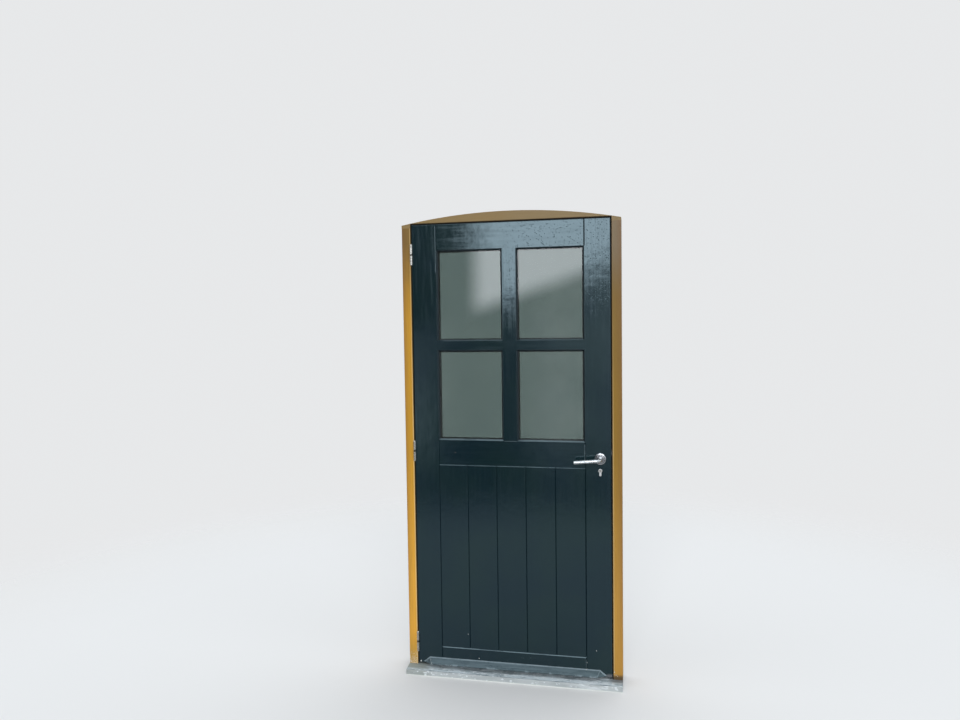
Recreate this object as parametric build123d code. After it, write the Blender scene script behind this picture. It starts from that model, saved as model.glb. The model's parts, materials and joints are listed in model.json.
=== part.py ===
from build123d import *
import math
import os

# A half-glazed stable door in its timber frame, in millimetres.
# X runs across the door, from the hinge side (-X) to the lock side (+X).
# Y runs into the building: the face of the frame and of the closed leaf is Y = 0.
# Z runs up from the underside of the stone threshold, and X = 0 is the middle of the door.

# Leaf
leaf_width = 930
leaf_height = 2115
leaf_thickness = 40
stile_width = 118
top_rail_height = 121
lock_rail_height = 118
bottom_rail_height = 84
lock_rail_bottom = 975  # above the foot of the leaf
rebate_width = 10  # lip behind the panes and boards
rebate_depth = 28  # from the face of the leaf to that lip
joint_chamfer = 3  # half of each V joint
leaf_arris = 3
rail_tenon_length = 35
tenon_thickness = 14
tenon_shoulder = 15
muntin_tenon_length = 12

# Boards
board_count = 5
board_side_gap = 0.5
tongue_length = 5
tongue_thickness = 6
tongue_clearance = 0.3

# Panes
muntin_width = 64
cross_muntin_height = 42
pane_gap = 2  # round each glazed unit
glass_thickness = 4
spacer_width = 6
bead_width = 7
bead_set_back = 1  # of the bead behind the face
bead_flat = 1
bead_bevel_depth = 7.5
bead_depth = 12  # from the face of the leaf to the glass

# Frame
hinge_gap = 3
lock_gap = 3
head_gap = 3
jamb_face = 45
frame_depth = 114
stop_overlap = 17  # of the rebate's stop past the edge of the rebate
stop_gap = 4  # behind the leaf, for the seal
frame_arris = 4
head_end_height = 14
head_rise = 50
jamb_tenon_height = 9
jamb_tenon_width = 30
jamb_tenon_thickness = 30
fixing_hole_diameter = 8
fixing_inset = 250  # of the outer fixings from each end of the jamb
fixing_inner_inset = 800

# Seal
seal_width = 8
seal_clearance = 0.3
seal_edge_radius = 1.5
seal_inset = 3  # from the edge of the stop

# Threshold
threshold_front_height = 25
threshold_fall = 6
threshold_projection = 60
threshold_gap = 10  # under the leaf
threshold_upstand = 12  # of the stone above the foot of the leaf
threshold_arris = 3

# Weatherboard
weatherboard_length = 820  # along its top edge
weatherboard_splay = 31  # of each end at its foot, along the leaf
weatherboard_front_inset = 15  # of each end at its front foot, from the top edge's end
weatherboard_height = 25
weatherboard_projection = 32
weatherboard_front_height = 4
weatherboard_lift = 5  # above the foot of the leaf
drip_groove_diameter = 5
drip_groove_inset = 8

# Hinges
hinge_height = 89
hinge_tip_height = 5.5
hinge_tip_radius = 3.5
hinge_plate_thickness = 2.5
hinge_plate_gap = 0.5  # between the two closed plates
hinge_plate_depth = 32
hinge_plate_set_back = 0.5  # of each plate behind the face
knuckle_diameter = 12
hinge_pin_diameter = 7
hinge_running_clearance = 0.05
hinge_collar_diameter = 11
hinge_collar_height = 2
hinge_collar_clearance = 0.1
hinge_pin_end_gap = 1
hinge_cap_wall = 6
top_hinge_inset = 140  # from the top of the leaf to the hinge's middle
bottom_hinge_inset = 105
hinge_outer_screw = 33  # from the hinge's middle
hinge_inner_screw = 12
hinge_screw_column = 12  # behind the face
hinge_screw_stagger = 10

# Screws
screw_head_diameter = 8.5
screw_head_depth = 2.2
screw_diameter = 4
screw_length = 30
screw_slot_width = 1
screw_slot_length = 4.6
screw_slot_depth = 1.1

# Lock
backset = 50
lever_height = 1020  # above the foot of the leaf
cylinder_distance = 55
case_depth = 75
case_thickness = 16
case_wall = 1.5
case_above = 50
case_below = 115
case_fit = 0.25
forend_thickness = 3
forend_width = 20
forend_above = 85
forend_below = 150
forend_screw_inset = 12
spindle_size = 8
spindle_fit = 0.05
case_spindle_hole = 13
bolt_thickness = 12
bolt_fit = 0.15
latch_height = 20
latch_above = 14  # from the lever's axis to the foot of the latch
latch_throw = 12
latch_length = 31.5
latch_flush = 0.5  # of both bolts inside the forend when drawn
latch_tail_length = 43
latch_tail_thickness = 3
latch_tail_height = 12
latch_pin_diameter = 3.6
follower_diameter = 20
follower_side_gap = 0.2
finger_width = 5
finger_reach = 21
finger_clearance = 0.5
finger_tail_gap = 1  # between the finger and the latch's tail
lever_swing = 40
dead_bolt_height = 24
dead_bolt_below = 52
dead_bolt_throw = 20
dead_bolt_length = 32.5
dead_bolt_tail_length = 34
dead_bolt_tail_height = 9

# Cylinder
cylinder_round_diameter = 17
cylinder_slot_width = 10
cylinder_height = 33
cylinder_proud = 3
cylinder_fit = 0.15
plug_diameter = 13
plug_clearance = 0.05
plug_inset = 0.5
cam_radius = 14.5
cam_width = 7
cam_gap = 10
cam_side_clearance = 0.3
cam_pocket_clearance = 1
cam_angle = 30  # of the cam's rest from straight down, towards the forend
keyway_width = 1.4
keyway_height = 8
keyway_depth = 12
cylinder_screw_diameter = 5
cylinder_screw_length = 50
cylinder_screw_head = 8
cylinder_screw_head_depth = 2

# Levers and roses
rose_diameter = 52
rose_thickness = 8
rose_edge = 2.5
lever_diameter = 17
lever_length = 127
lever_projection = 64  # to the outside of the grip
lever_bend_radius = 17
lever_droop = 5
lever_end_radius = 3
lever_running_clearance = 0.05
lever_hole_diameter = 22
lever_root_gap = 1
spindle_grip = 28  # of the spindle inside each lever

# Strike
strike_thickness = 3
strike_width = 24
strike_above = 60
strike_below = 90
strike_screw_inset = 12
strike_clearance = 0.5
strike_pocket_clearance = 2

# Places that follow from those sizes
leaf_half = leaf_width / 2
stile_inner = leaf_half - stile_width
lip_inner = stile_inner - rebate_width
hinge_edge = -leaf_half
lock_edge = leaf_half
hinge_rebate_x = hinge_edge - hinge_gap
lock_rebate_x = lock_edge + lock_gap
rebate_back = leaf_thickness + stop_gap
mid_y = leaf_thickness / 2

threshold_top = threshold_front_height + threshold_fall
leaf_bottom = threshold_top + threshold_gap
leaf_top = leaf_bottom + leaf_height
upstand_top = leaf_bottom + threshold_upstand
head_bottom = leaf_top + head_gap - stop_overlap
head_rebate_z = leaf_top + head_gap

rail_z = {
    "bottom_rail": (leaf_bottom, leaf_bottom + bottom_rail_height),
    "lock_rail": (leaf_bottom + lock_rail_bottom, leaf_bottom + lock_rail_bottom + lock_rail_height),
    "top_rail": (leaf_top - top_rail_height, leaf_top),
}
panel_z = (rail_z["bottom_rail"][1], rail_z["lock_rail"][0])
glazing_z = (rail_z["lock_rail"][1], rail_z["top_rail"][0])
cross_z = sum(glazing_z) / 2
muntin_half = muntin_width / 2
cross_half = cross_muntin_height / 2

pin_x = (hinge_edge + hinge_rebate_x) / 2
pin_y = -knuckle_diameter / 2
hinge_zs = {
    "bottom": leaf_bottom + bottom_hinge_inset,
    "middle": (leaf_bottom + bottom_hinge_inset + leaf_top - top_hinge_inset) / 2,
    "top": leaf_top - top_hinge_inset,
}

lever_x = lock_edge - backset
lever_z = leaf_bottom + lever_height
cylinder_z = lever_z - cylinder_distance
forend_x = lock_edge - forend_thickness
case_back = forend_x - case_depth
case_y = (mid_y - case_thickness / 2, mid_y + case_thickness / 2)
bolt_y = (mid_y - bolt_thickness / 2, mid_y + bolt_thickness / 2)
drawn_x = lock_edge - latch_flush
latch_z = (lever_z + latch_above, lever_z + latch_above + latch_height)
dead_bolt_z = (lever_z - dead_bolt_below, lever_z - dead_bolt_below + dead_bolt_height)


# Plain shapes

def block(x, y, z):
    """A box from its two limits along each axis, in either order."""
    size = [abs(b - a) for a, b in (x, y, z)]
    return Pos(sum(x) / 2, sum(y) / 2, sum(z) / 2) * Box(*size)


def rod(diameter, start, end):
    """A round bar between two points."""
    path = Vector(*end) - Vector(*start)
    return extrude(Plane(origin=start, z_dir=path) * Circle(diameter / 2), amount=path.length)


def across(outline, x):
    """An outline of (y, z) points, drawn out along X."""
    face = Plane.YZ.offset(min(x)) * make_face(Polyline(*outline, close=True))
    return extrude(face, amount=abs(x[1] - x[0]))


def upright(outline, z):
    """An outline of (x, y) points, drawn out along Z."""
    face = Plane.XY.offset(min(z)) * make_face(Polyline(*outline, close=True))
    return extrude(face, amount=abs(z[1] - z[0]))


def edges_at(solid, axis, **place):
    """The edges along an axis whose middle lies at the given coordinates."""
    return [
        e for e in solid.edges().filter_by(axis)
        if all(abs(getattr(e.center(), k) - v) < 0.01 for k, v in place.items())
    ]


def rounded(solid, axis, radius, **place):
    return fillet(edges_at(solid, axis, **place), radius)


# Screws

def screw_blank(x, y, z, way):
    """A countersunk screw, or its hole: the head lies flush at x and the shank runs along way."""
    head = screw_head_diameter / 2
    shank = screw_diameter / 2
    profile = Polyline(
        (0, 0), (head, 0), (shank, screw_head_depth), (shank, screw_length - shank), (0, screw_length),
        close=True,
    )
    return Pos(x, y, z) * Rot(0, 0, -90 * way) * revolve(make_face(profile), Axis.Y)


def screw(x, y, z, way):
    """The screw itself, with a cross in its head."""
    made = screw_blank(x, y, z, way)
    half = screw_slot_width / 2
    arm = screw_slot_length / 2
    depth = (x, x + way * screw_slot_depth)
    made -= block(depth, (y - half, y + half), (z - arm, z + arm))
    return made - block(depth, (y - arm, y + arm), (z - half, z + half))


def hinge_screw_places(side):
    """Where the screws of all the hinges stand: side is -1 in the jamb and +1 in the leaf."""
    x = pin_x + side * hinge_plate_gap / 2
    for z in hinge_zs.values():
        for dz in (-hinge_outer_screw, -hinge_inner_screw, hinge_inner_screw, hinge_outer_screw):
            y = hinge_screw_column + (hinge_screw_stagger if abs(dz) == hinge_inner_screw else 0)
            yield x, y, z + dz, side


def strike_screw_places():
    for z in (lever_z + strike_above - strike_screw_inset, lever_z - strike_below + strike_screw_inset):
        yield lock_rebate_x, mid_y, z, 1


def forend_screw_places():
    for z in (lever_z + forend_above - forend_screw_inset, lever_z - forend_below + forend_screw_inset):
        yield lock_edge, mid_y, z, -1


def frame_screws():
    return [screw(*place) for place in (*hinge_screw_places(-1), *strike_screw_places())]


def leaf_screws():
    return [screw(*place) for place in (*hinge_screw_places(1), *forend_screw_places())]


def drilled(solid, places):
    """The solid, with a hole for each screw that reaches it."""
    box = solid.bounding_box()
    for place in places:
        if box.min.Z < place[2] < box.max.Z:
            solid -= screw_blank(*place)
    return solid


# Frame

def threshold():
    """The stone: a sloping tread in front, a seat under the leaf and an upstand behind it."""
    outline = [
        (-threshold_projection, 0), (-threshold_projection, threshold_front_height),
        (0, threshold_top), (rebate_back, threshold_top),
        (rebate_back, upstand_top), (frame_depth, upstand_top), (frame_depth, 0),
    ]
    return across(outline, (hinge_rebate_x - jamb_face, lock_rebate_x + jamb_face))


def finished_threshold():
    stone = threshold()
    stone = rounded(stone, Axis.X, threshold_arris, Y=-threshold_projection, Z=threshold_front_height)
    return rounded(stone, Axis.X, threshold_arris, Y=rebate_back, Z=upstand_top)


def jamb_tenon(side):
    """The stub tenon that holds a jamb to the head."""
    x = jamb_xs(side)
    y = (rebate_back + frame_depth) / 2
    return block(
        (x["stop"], x["stop"] + side * jamb_tenon_width),
        (y - jamb_tenon_thickness / 2, y + jamb_tenon_thickness / 2),
        (head_bottom, head_bottom + jamb_tenon_height),
    )


def jamb_xs(side):
    rebate = lock_rebate_x if side > 0 else hinge_rebate_x
    return {"rebate": rebate, "outer": rebate + side * jamb_face, "stop": rebate - side * stop_overlap}


def fixing_zs():
    for inset in (fixing_inset, fixing_inner_inset):
        yield inset
        yield head_bottom - inset


def jamb(side):
    """A rebated post on the stone: side is -1 at the hinges and +1 at the lock."""
    x = jamb_xs(side)
    outline = [
        (x["rebate"], 0), (x["outer"], 0), (x["outer"], frame_depth),
        (x["stop"], frame_depth), (x["stop"], rebate_back), (x["rebate"], rebate_back),
    ]
    post = upright(outline, (0, head_bottom))
    for place in ("rebate", "outer"):
        post = rounded(post, Axis.Z, frame_arris, X=x[place], Y=0)
    post = post - threshold() + jamb_tenon(side)
    y = (rebate_back + frame_depth) / 2
    for z in fixing_zs():
        post -= rod(fixing_hole_diameter, (x["stop"], y, z), (x["outer"], y, z))
    return post


def jamb_hinge_side():
    post = jamb(-1)
    for z in hinge_zs.values():
        post -= hinge_plate(z, -1, recess=True)
    return drilled(post, hinge_screw_places(-1))


def jamb_lock_side():
    post = jamb(1) - strike_blank()
    pocket = strike_pocket_clearance
    for z, throw in ((latch_z, latch_throw), (dead_bolt_z, dead_bolt_throw)):
        post -= block(
            (lock_rebate_x, drawn_x + throw + pocket),
            (bolt_y[0] - pocket, bolt_y[1] + pocket),
            (z[0] - pocket, z[1] + pocket),
        )
    return drilled(post, strike_screw_places())


def frame_head():
    """The head: straight and rebated below, and cut to a low arch above."""
    left, right = jamb_xs(-1), jamb_xs(1)
    springing = head_bottom + head_end_height
    middle = (left["outer"] + right["outer"]) / 2
    corners = ((left["outer"], springing), (left["outer"], head_bottom), (right["outer"], head_bottom))
    outline = Polyline(*corners, (right["outer"], springing))
    arch = ThreePointArc((right["outer"], springing), (middle, springing + head_rise), corners[0])
    timber = extrude(Plane.XZ * make_face(outline + arch), amount=-frame_depth)
    rebate = (left["rebate"], right["rebate"])
    timber -= block(rebate, (0, rebate_back), (head_bottom, head_rebate_z))
    timber = rounded(timber, Axis.X, frame_arris, Y=0, Z=head_rebate_z)
    return timber - jamb_tenon(-1) - jamb_tenon(1)


def seal(side):
    """A rubber strip on the stop, just clear of the closed leaf."""
    x = jamb_xs(side)["stop"] + side * seal_inset
    y = (leaf_thickness + seal_clearance, rebate_back)
    strip = block((x, x + side * seal_width), y, (upstand_top, head_bottom))
    for edge in (x, x + side * seal_width):
        strip = rounded(strip, Axis.Z, seal_edge_radius, X=edge, Y=y[0])
    return strip


def seal_head():
    """The strip under the head, above the ends of the two side strips."""
    x = (jamb_xs(-1)["stop"], jamb_xs(1)["stop"])
    y = (leaf_thickness + seal_clearance, rebate_back)
    z = head_bottom + seal_inset
    past = seal_inset + seal_width
    strip = block((x[0] - past, x[1] + past), y, (z, z + seal_width))
    for edge in (z, z + seal_width):
        strip = rounded(strip, Axis.X, seal_edge_radius, Y=y[0], Z=edge)
    return strip


def strike_blank():
    return block(
        (lock_rebate_x, lock_rebate_x + strike_thickness),
        (mid_y - strike_width / 2, mid_y + strike_width / 2),
        (lever_z - strike_below, lever_z + strike_above),
    )


def strike_plate():
    plate = strike_blank()
    gap = strike_clearance
    for z in (latch_z, dead_bolt_z):
        plate -= block(
            (lock_rebate_x, lock_rebate_x + strike_thickness),
            (bolt_y[0] - gap, bolt_y[1] + gap),
            (z[0] - gap, z[1] + gap),
        )
    return drilled(plate, strike_screw_places())


# Hinges

def hinge_plate(z, side, recess=False):
    """One plate of a hinge, or its recess: side is -1 on the jamb and +1 on the leaf."""
    near = pin_x + side * hinge_plate_gap / 2
    start = 0 if recess else hinge_plate_set_back
    return block(
        (near, near + side * hinge_plate_thickness),
        (start, hinge_plate_depth),
        (z - hinge_height / 2, z + hinge_height / 2),
    )


def knuckle_zs(z, side):
    """The frame's knuckle lies below the hinge's middle, and the leaf's above it."""
    inner = hinge_collar_height / 2 + (hinge_collar_clearance if side > 0 else 0)
    return z + side * inner, z + side * hinge_height / 2


def hinge_half(z, side):
    plate = hinge_plate(z, side)
    near = pin_x + side * hinge_plate_gap / 2
    inner, outer = knuckle_zs(z, side)
    arm = (near, near + side * hinge_plate_thickness)
    plate += block(arm, (pin_y, hinge_plate_set_back), (inner, outer))
    if side < 0:
        plate += rod(knuckle_diameter, (pin_x, pin_y, outer), (pin_x, pin_y, inner))
        plate -= rod(hinge_pin_diameter, (pin_x, pin_y, outer), (pin_x, pin_y, inner))
    else:
        top = outer + hinge_tip_height
        cap = rod(knuckle_diameter, (pin_x, pin_y, inner), (pin_x, pin_y, top))
        plate += fillet(cap.edges().sort_by(Axis.Z)[-1], hinge_tip_radius)
        bore = hinge_pin_diameter + 2 * hinge_running_clearance
        plate -= rod(bore, (pin_x, pin_y, inner), (pin_x, pin_y, top - hinge_cap_wall))
    return drilled(plate, hinge_screw_places(side))


def hinge_pins():
    """Each pin has a domed tip under the frame's knuckle and a collar that carries the leaf's."""
    pins = []
    for z in hinge_zs.values():
        foot = z - hinge_height / 2
        tip = rod(knuckle_diameter, (pin_x, pin_y, foot - hinge_tip_height), (pin_x, pin_y, foot))
        tip = fillet(tip.edges().sort_by(Axis.Z)[0], hinge_tip_radius)
        end = z + hinge_height / 2 + hinge_tip_height - hinge_cap_wall - hinge_pin_end_gap
        shaft = rod(hinge_pin_diameter, (pin_x, pin_y, foot), (pin_x, pin_y, end))
        half = hinge_collar_height / 2
        collar = rod(hinge_collar_diameter, (pin_x, pin_y, z - half), (pin_x, pin_y, z + half))
        pins.append(tip + shaft + collar)
    return pins


# Leaf timber

def rail_tenon(name, side):
    z0, z1 = rail_z[name]
    y0 = rebate_depth - tenon_thickness
    return block(
        (side * stile_inner, side * (stile_inner + rail_tenon_length)),
        (y0, rebate_depth),
        (z0 + tenon_shoulder, z1 - tenon_shoulder),
    )


def muntin_post_tenon(z, way):
    y0 = rebate_depth - tenon_thickness
    x = muntin_half - tenon_shoulder
    return block((-x, x), (y0, rebate_depth), (z, z + way * muntin_tenon_length))


def cross_tenon(x, way):
    y0 = rebate_depth - tenon_thickness
    z = cross_half - tenon_shoulder / 2
    return block((x, x + way * muntin_tenon_length), (y0, rebate_depth), (cross_z - z, cross_z + z))


def v_cut(axis, at, along):
    """A V cut in the face, centred on a joint line across X or Z."""
    outline = [(at - joint_chamfer, 0), (at + joint_chamfer, 0), (at, joint_chamfer)]
    if axis == "X":
        return upright(outline, along)
    return across([(y, z) for z, y in outline], along)


def panel_joints():
    """The V cuts round the boards and where the rails meet the stiles."""
    cuts = []
    for x in (-stile_inner, stile_inner):
        cuts.append(v_cut("X", x, (leaf_bottom, glazing_z[0])))
        cuts.append(v_cut("X", x, (glazing_z[1], leaf_top)))
    for z in panel_z:
        cuts.append(v_cut("Z", z, (-stile_inner, stile_inner)))
    return cuts


def stile(side):
    wood = block((side * stile_inner, side * leaf_half), (0, leaf_thickness), (leaf_bottom, leaf_top))
    wood = rounded(wood, Axis.Z, leaf_arris, X=side * leaf_half, Y=0)
    wood += block(
        (side * lip_inner, side * stile_inner), (rebate_depth, leaf_thickness), (leaf_bottom, leaf_top)
    )
    for cut in panel_joints():
        wood -= cut
    for name in rail_z:
        wood -= rail_tenon(name, side)
    return wood - cross_tenon(side * stile_inner, side)


def stile_hinge_side():
    wood = stile(-1)
    for z in hinge_zs.values():
        wood -= hinge_plate(z, 1, recess=True)
    return drilled(wood, hinge_screw_places(1))


def stile_lock_side():
    """The lock stile, mortised for the lock case and bored for the spindle and the cylinder."""
    wood = stile(1) - forend_blank()
    wood -= block(
        (case_back - case_fit, forend_x),
        (case_y[0] - case_fit, case_y[1] + case_fit),
        (lever_z - case_below - case_fit, lever_z + case_above + case_fit),
    )
    wood -= rod(lever_hole_diameter, (lever_x, 0, lever_z), (lever_x, leaf_thickness, lever_z))
    wood -= cylinder_prism(cylinder_fit, (0, leaf_thickness))
    return drilled(wood, forend_screw_places())


def rail(name):
    """A rail with the lip behind the panes or boards, tenoned into both stiles."""
    z0, z1 = rail_z[name]
    lip_low = z0 - (rebate_width if name != "bottom_rail" else 0)
    lip_high = z1 + (rebate_width if name != "top_rail" else 0)
    wood = block((-stile_inner, stile_inner), (0, rebate_depth), (z0, z1))
    wood += block((-lip_inner, lip_inner), (rebate_depth, leaf_thickness), (lip_low, lip_high))
    for side in (-1, 1):
        wood += rail_tenon(name, side)
    for cut in panel_joints():
        wood -= cut
    if name == "lock_rail":
        wood -= muntin_post_tenon(z1, -1)
    if name == "top_rail":
        wood -= muntin_post_tenon(z0, 1)
    return wood


def muntin_post():
    """The upright bar between the panes, with a lip behind them on both sides."""
    back = (rebate_depth, leaf_thickness)
    lip = muntin_half + rebate_width
    wood = block((-muntin_half, muntin_half), (0, rebate_depth), glazing_z)
    wood += block((-lip, lip), back, (glazing_z[0] + rebate_width, glazing_z[1] - rebate_width))
    wood += muntin_post_tenon(glazing_z[0], -1) + muntin_post_tenon(glazing_z[1], 1)
    for side in (-1, 1):
        wood -= cross_tenon(side * muntin_half, -side)
    return wood


def muntin_cross(side):
    """A level bar between two panes, from a stile to the upright bar."""
    ends = (side * muntin_half, side * stile_inner)
    lip_ends = (side * (muntin_half + rebate_width), side * lip_inner)
    lip = cross_half + rebate_width
    wood = block(ends, (0, rebate_depth), (cross_z - cross_half, cross_z + cross_half))
    wood += block(lip_ends, (rebate_depth, leaf_thickness), (cross_z - lip, cross_z + lip))
    return wood + cross_tenon(ends[0], -side) + cross_tenon(ends[1], side)


def board(i):
    """A tongued and grooved board: i counts from the hinge side, and its tongue points to the lock."""
    pitch = 2 * stile_inner / board_count
    x0 = -stile_inner + i * pitch
    x1 = x0 + pitch
    start = x0 + (board_side_gap if i == 0 else 0)
    end = x1 - (board_side_gap if i == board_count - 1 else 0)
    wood = block((start, end), (0, rebate_depth), panel_z)
    y = rebate_depth / 2
    half = tongue_thickness / 2
    if i < board_count - 1:
        wood += block((x1, x1 + tongue_length), (y - half, y + half), panel_z)
    if i > 0:
        half += tongue_clearance
        wood -= block((x0, x0 + tongue_length + tongue_clearance), (y - half, y + half), panel_z)
    for x in (x0, x1):
        wood -= v_cut("X", x, panel_z)
    for z in panel_z:
        wood -= v_cut("Z", z, (x0, x1 + tongue_length))
    return wood


# Glazing

def opening(side, level):
    """The limits of one glazed opening: side is -1 or +1, and level is -1 below and +1 above."""
    x = sorted((side * muntin_half, side * stile_inner))
    z = sorted((cross_z + level * cross_half, glazing_z[(level + 1) // 2]))
    return x, z


def inset_box(side, level, inset, y):
    x, z = opening(side, level)
    return block((x[0] + inset, x[1] - inset), y, (z[0] + inset, z[1] - inset))


def pane(side, level, inner):
    back = (rebate_depth - glass_thickness, rebate_depth)
    front = (bead_depth, bead_depth + glass_thickness)
    return inset_box(side, level, pane_gap, back if inner else front)


def spacer(side, level):
    y = (bead_depth + glass_thickness, rebate_depth - glass_thickness)
    return inset_box(side, level, pane_gap, y) - inset_box(side, level, pane_gap + spacer_width, y)


def bead(side, level):
    """The four mitred and painted-in beads of one pane, bevelled towards the glass."""
    x, z = opening(side, level)
    ring = inset_box(side, level, 0, (bead_set_back, bead_depth))
    ring -= inset_box(side, level, bead_width, (bead_set_back, bead_depth))
    faces = []
    for inset, y in ((bead_flat, bead_set_back), (bead_width, bead_set_back + bead_bevel_depth)):
        plane = Plane(origin=(sum(x) / 2, y, sum(z) / 2), x_dir=(1, 0, 0), z_dir=(0, 1, 0))
        faces.append(plane * Rectangle(x[1] - x[0] - 2 * inset, z[1] - z[0] - 2 * inset))
    return ring - loft(faces)


# Weatherboard

def weatherboard():
    """A sloping board with splayed ends and a drip groove, at the foot of the leaf."""
    foot = leaf_bottom + weatherboard_lift
    top = foot + weatherboard_height
    half = weatherboard_length / 2
    reach = half + weatherboard_splay
    front = half - weatherboard_front_inset
    outline = [
        (0, foot), (-weatherboard_projection, foot),
        (-weatherboard_projection, foot + weatherboard_front_height), (0, top),
    ]
    wood = across(outline, (-reach, reach))
    for side in (-1, 1):
        head = Vector(side * half, 0, top)
        back = Vector(side * reach, 0, foot)
        nose = Vector(side * front, -weatherboard_projection, foot)
        normal = (nose - head).cross(back - head) * side
        wood = split(wood, bisect_by=Plane(origin=head, z_dir=normal), keep=Keep.BOTTOM)
    groove_y = drip_groove_inset - weatherboard_projection
    return wood - rod(drip_groove_diameter, (-reach, groove_y, foot), (reach, groove_y, foot))


# Lock

def forend_blank():
    return block(
        (forend_x, lock_edge),
        (mid_y - forend_width / 2, mid_y + forend_width / 2),
        (lever_z - forend_below, lever_z + forend_above),
    )


def lock_forend():
    plate = forend_blank()
    for z in (latch_z, dead_bolt_z):
        plate -= block(
            (forend_x, lock_edge),
            (bolt_y[0] - bolt_fit, bolt_y[1] + bolt_fit),
            (z[0] - bolt_fit, z[1] + bolt_fit),
        )
    return drilled(plate, forend_screw_places()) - cylinder_screw()


def lock_case():
    """The case: a thin box, open towards the forend, with holes for the spindle and the cylinder."""
    z = (lever_z - case_below, lever_z + case_above)
    case = block((case_back, forend_x), case_y, z)
    case -= block(
        (case_back + case_wall, forend_x),
        (case_y[0] + case_wall, case_y[1] - case_wall),
        (z[0] + case_wall, z[1] - case_wall),
    )
    case -= rod(case_spindle_hole, (lever_x, case_y[0], lever_z), (lever_x, case_y[1], lever_z))
    return case - cylinder_prism(cylinder_fit, case_y)


def finger_angle():
    return math.radians(lever_swing / 2)


def latch_pin_place():
    """Where the latch's pin stands at rest, so that the follower's finger draws it evenly."""
    angle = finger_angle()
    radius = latch_throw / (2 * math.sin(angle))
    height = radius * (1 + math.cos(angle)) / 2
    reach = finger_width / 2 + latch_pin_diameter / 2 + finger_clearance
    return lever_x + (height * math.sin(angle) - reach) / math.cos(angle), lever_z + height


def latch_bolt():
    """The sprung bolt, bevelled on the room side, with a tail and a pin for the follower's finger."""
    nose = drawn_x + latch_throw
    root = nose - latch_length
    outline = [
        (root, bolt_y[0]), (nose, bolt_y[0]), (nose, bolt_y[0] + latch_tail_thickness),
        (nose - latch_throw, bolt_y[1]), (root, bolt_y[1]),
    ]
    bolt = upright(outline, latch_z)
    pin_x_at, pin_z = latch_pin_place()
    tail_y = (bolt_y[0], bolt_y[0] + latch_tail_thickness)
    tail_z = latch_z[0] - latch_pin_diameter / 2
    bolt += block((root - latch_tail_length, root), tail_y, (tail_z, tail_z + latch_tail_height))
    return bolt + rod(latch_pin_diameter, (pin_x_at, tail_y[0], pin_z), (pin_x_at, bolt_y[1], pin_z))


def follower():
    """The hub on the spindle, with the finger that draws the latch."""
    side = case_wall + follower_side_gap
    y = (case_y[0] + side, case_y[1] - side)
    hub = rod(follower_diameter, (lever_x, y[0], lever_z), (lever_x, y[1], lever_z))
    finger_y = (bolt_y[0] + latch_tail_thickness + finger_tail_gap, bolt_y[1])
    finger = block((-finger_width / 2, finger_width / 2), finger_y, (0, finger_reach))
    hub += Pos(lever_x, 0, lever_z) * Rot(0, math.degrees(finger_angle()), 0) * finger
    half = spindle_size / 2 + spindle_fit
    return hub - block((lever_x - half, lever_x + half), y, (lever_z - half, lever_z + half))


def dead_bolt():
    root = drawn_x - dead_bolt_length
    bolt = block((root, drawn_x), bolt_y, dead_bolt_z)
    tail_z = (dead_bolt_z[1] - dead_bolt_tail_height, dead_bolt_z[1])
    return bolt + block((root - dead_bolt_tail_length, root), bolt_y, tail_z)


# Cylinder

def cylinder_prism(fit, y):
    """The profile of the lock cylinder, a circle above a slot, drawn out along Y."""
    radius = cylinder_round_diameter / 2
    slot = cylinder_slot_width / 2
    foot = cylinder_height - radius - slot
    face = Circle(radius + fit)
    face += Pos(0, -foot / 2) * Rectangle(2 * (slot + fit), foot)
    face += Pos(0, -foot) * Circle(slot + fit)
    plane = Plane(origin=(lever_x, y[0], cylinder_z), x_dir=(-1, 0, 0), z_dir=(0, 1, 0))
    return extrude(plane * face, amount=y[1] - y[0])


def cam_y(clearance):
    return mid_y - cam_gap / 2 + clearance, mid_y + cam_gap / 2 - clearance


def cylinder_screw_z():
    radius = cylinder_round_diameter / 2
    pocket = cam_radius + cam_pocket_clearance
    return cylinder_z - (pocket + cylinder_height - radius) / 2


def cylinder_screw():
    """The long screw through the forend that holds the cylinder."""
    z = cylinder_screw_z()
    head_end = lock_edge - cylinder_screw_head_depth
    end = lock_edge - cylinder_screw_length
    shank = rod(cylinder_screw_diameter, (lock_edge, mid_y, z), (end, mid_y, z))
    head = Plane(origin=(head_end, mid_y, z), z_dir=(1, 0, 0))
    face = head * Circle(cylinder_screw_diameter / 2)
    wide = head.offset(cylinder_screw_head_depth) * Circle(cylinder_screw_head / 2)
    return shank + loft([face, wide])


def cylinder_body():
    y = (-cylinder_proud, leaf_thickness + cylinder_proud)
    body = cylinder_prism(0, y)
    radius = cylinder_round_diameter / 2
    pocket = cam_radius + cam_pocket_clearance
    body -= block(
        (lever_x - radius, lever_x + radius), cam_y(0), (cylinder_z - pocket, cylinder_z + radius)
    )
    bore = plug_diameter + 2 * plug_clearance
    body -= rod(bore, (lever_x, y[0], cylinder_z), (lever_x, y[1], cylinder_z))
    return body - cylinder_screw()


def cylinder_plug():
    """Both plugs and the cam between them, which turn together with the key."""
    y = (plug_inset - cylinder_proud, leaf_thickness + cylinder_proud - plug_inset)
    plug = rod(plug_diameter, (lever_x, y[0], cylinder_z), (lever_x, y[1], cylinder_z))
    cam = block((-cam_width / 2, cam_width / 2), cam_y(cam_side_clearance), (-cam_radius, 0))
    plug += Pos(lever_x, 0, cylinder_z) * Rot(0, -cam_angle, 0) * cam
    half = keyway_width / 2
    for mouth, way in ((y[0], 1), (y[1], -1)):
        plug -= block(
            (lever_x - half, lever_x + half),
            (mouth, mouth + way * keyway_depth),
            (cylinder_z - keyway_height / 2, cylinder_z + keyway_height / 2),
        )
    return plug


# Levers

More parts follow.
